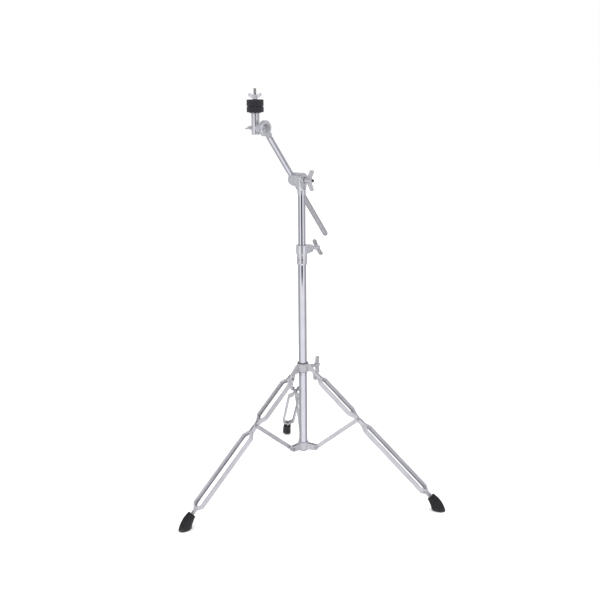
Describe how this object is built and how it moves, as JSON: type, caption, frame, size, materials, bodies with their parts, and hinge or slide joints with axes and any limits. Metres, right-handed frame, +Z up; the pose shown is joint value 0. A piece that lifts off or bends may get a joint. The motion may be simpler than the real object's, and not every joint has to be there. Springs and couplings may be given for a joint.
{
  "type": "cymbal boom stand",
  "caption": "Folding tripod cymbal stand with double-braced legs, a telescopic column, a tilting and sliding boom arm, and a ratchet tilter that holds a cymbal between felts.",
  "frame": {"origin": "the column's axis where it meets the floor, with the tripod open", "axes": "+Z up along the column; +X to the right of someone facing the stand and +Y away from them"},
  "size_m": [0.7747, 0.7269, 1.2157],
  "materials": {
    "chrome_tube": "polished chrome plate",
    "cast_chrome": "chrome-plated casting",
    "cast_grey": "satin grey casting",
    "pressed_steel": "satin plated pressed steel",
    "rivet_steel": "plated",
    "wing_metal": "satin chrome casting",
    "bolt_steel": "plated",
    "black_rubber": "matt",
    "black_felt": "pressed felt",
    "black_plastic": "matt",
    "nylon": "matt"
  },
  "bodies": {
    "column": {"base_tube": "chrome_tube", "base_tube_plug": "nylon", "spreader_hub": "cast_grey", "hub_pin": "rivet_steel", "hub_rivets": "rivet_steel", "height_clamp": "cast_chrome", "clamp_bush": "nylon", "clamp_rivets": "rivet_steel"},
    "stay_1": {"stay_1": "pressed_steel"},
    "leg_1": {"leg_1_left": "pressed_steel", "leg_1_right": "pressed_steel", "leg_1_rivets": "rivet_steel", "leg_1_foot": "black_rubber"},
    "stay_2": {"stay_2": "pressed_steel"},
    "leg_2": {"leg_2_left": "pressed_steel", "leg_2_right": "pressed_steel", "leg_2_rivets": "rivet_steel", "leg_2_foot": "black_rubber"},
    "stay_3": {"stay_3": "pressed_steel"},
    "leg_3": {"leg_3_left": "pressed_steel", "leg_3_right": "pressed_steel", "leg_3_rivets": "rivet_steel", "leg_3_foot": "black_rubber"},
    "collar": {"leg_collar": "cast_grey", "collar_bush": "nylon"},
    "collar_bolt": {"collar_wing_bolt": "wing_metal"},
    "clamp_bolt": {"clamp_wing_bolt": "wing_metal"},
    "tube_guide": {"upper_tube_guide": "nylon"},
    "upper_tube": {"upper_tube": "chrome_tube", "boom_bracket": "cast_chrome", "bracket_pin": "rivet_steel"},
    "saddle": {"boom_saddle": "cast_chrome", "boom_eye_bolt": "cast_chrome", "boom_washer": "rivet_steel"},
    "boom_nut": {"boom_wing_nut": "wing_metal"},
    "arm": {"boom_arm": "chrome_tube", "arm_end_cap": "black_plastic", "tilter_base": "cast_chrome", "tilter_set_screw": "bolt_steel", "tilter_bolt": "bolt_steel", "tilter_spring": "rivet_steel"},
    "tilter_nut": {"tilter_wing_nut": "wing_metal"},
    "seat_post": {"tilter_post": "cast_chrome", "cymbal_rod": "bolt_steel", "seat_washer": "rivet_steel", "cymbal_sleeve": "black_plastic", "lower_felt": "black_felt", "upper_felt": "black_felt"},
    "cymbal_nut": {"cymbal_wing_nut": "wing_metal"}
  },
  "joints": [
    {"name": "stay_1_fold", "type": "hinge", "parent": "column", "child": "stay_1", "pos_m": [-0.0331, -0.02586, 0.1385], "axis": [-0.6157, 0.788, 0], "range_deg": [-8, 45]},
    {"name": "leg_1_knee", "type": "hinge", "parent": "stay_1", "child": "leg_1", "pos_m": [-0.14058, -0.10984, 0.25255], "axis": [-0.6157, 0.788, 0], "range_deg": [-90, 16]},
    {"name": "stay_2_fold", "type": "hinge", "parent": "column", "child": "stay_2", "pos_m": [0.03894, -0.01573, 0.1385], "axis": [-0.3746, -0.9272, 0], "range_deg": [-8, 45]},
    {"name": "leg_2_knee", "type": "hinge", "parent": "stay_2", "child": "leg_2", "pos_m": [0.16541, -0.06683, 0.25255], "axis": [-0.3746, -0.9272, 0], "range_deg": [-90, 16]},
    {"name": "stay_3_fold", "type": "hinge", "parent": "column", "child": "stay_3", "pos_m": [-0.00585, 0.04159, 0.1385], "axis": [0.9903, 0.1392, 0], "range_deg": [-8, 45]},
    {"name": "leg_3_knee", "type": "hinge", "parent": "stay_3", "child": "leg_3", "pos_m": [-0.02483, 0.17667, 0.25255], "axis": [0.9903, 0.1392, 0], "range_deg": [-90, 16]},
    {"name": "collar_pivot", "type": "hinge", "parent": "leg_1", "child": "collar", "pos_m": [-0.0331, -0.02586, 0.3666], "axis": [-0.6157, 0.788, 0], "range_deg": [-8, 45]},
    {"name": "collar_bolt_turn", "type": "hinge", "parent": "collar", "child": "collar_bolt", "pos_m": [0.02994, 0.02339, 0.3904], "axis": [0.788, 0.6157, 0], "continuous": true},
    {"name": "clamp_bolt_turn", "type": "hinge", "parent": "column", "child": "clamp_bolt", "pos_m": [0.03072, 0.02151, 0.7568], "axis": [0.8192, 0.5736, 0], "continuous": true},
    {"name": "tube_slide", "type": "slide", "parent": "column", "child": "tube_guide", "axis": [0, 0, 1], "range_m": [-0.115, 0.37]},
    {"name": "tube_swivel", "type": "hinge", "parent": "tube_guide", "child": "upper_tube", "pos_m": [0, 0, 0.273], "axis": [0, 0, 1], "continuous": true},
    {"name": "boom_tilt", "type": "hinge", "parent": "upper_tube", "child": "saddle", "pos_m": [0, 0, 0.9595], "axis": [0.766, -0.6428, 0], "range_deg": [-39.2, 75]},
    {"name": "boom_nut_turn", "type": "hinge", "parent": "saddle", "child": "boom_nut", "pos_m": [0.02298, -0.01928, 0.9595], "axis": [0.766, -0.6428, 0], "continuous": true},
    {"name": "arm_slide", "type": "slide", "parent": "saddle", "child": "arm", "axis": [-0.4063, -0.4842, 0.7749], "range_m": [-0.11, 0.195]},
    {"name": "tilter_tilt", "type": "hinge", "parent": "arm", "child": "seat_post", "pos_m": [-0.1021, -0.07423, 1.10968], "axis": [0.766, -0.6428, 0], "range_deg": [-80, 85]},
    {"name": "tilter_nut_turn", "type": "hinge", "parent": "arm", "child": "tilter_nut", "pos_m": [-0.14247, -0.04035, 1.10968], "axis": [0.766, -0.6428, 0], "continuous": true},
    {"name": "cymbal_nut_turn", "type": "hinge", "parent": "seat_post", "child": "cymbal_nut", "pos_m": [-0.12546, -0.05462, 1.18613], "axis": [0, 0, 1], "continuous": true}
  ],
  "couplings": [
    {"joint": "leg_1_knee", "follows": "stay_1_fold", "ratio": -2},
    {"joint": "stay_2_fold", "follows": "stay_1_fold", "ratio": 1},
    {"joint": "leg_2_knee", "follows": "stay_1_fold", "ratio": -2},
    {"joint": "stay_3_fold", "follows": "stay_1_fold", "ratio": 1},
    {"joint": "leg_3_knee", "follows": "stay_1_fold", "ratio": -2},
    {"joint": "collar_pivot", "follows": "stay_1_fold", "ratio": 1}
  ]
}
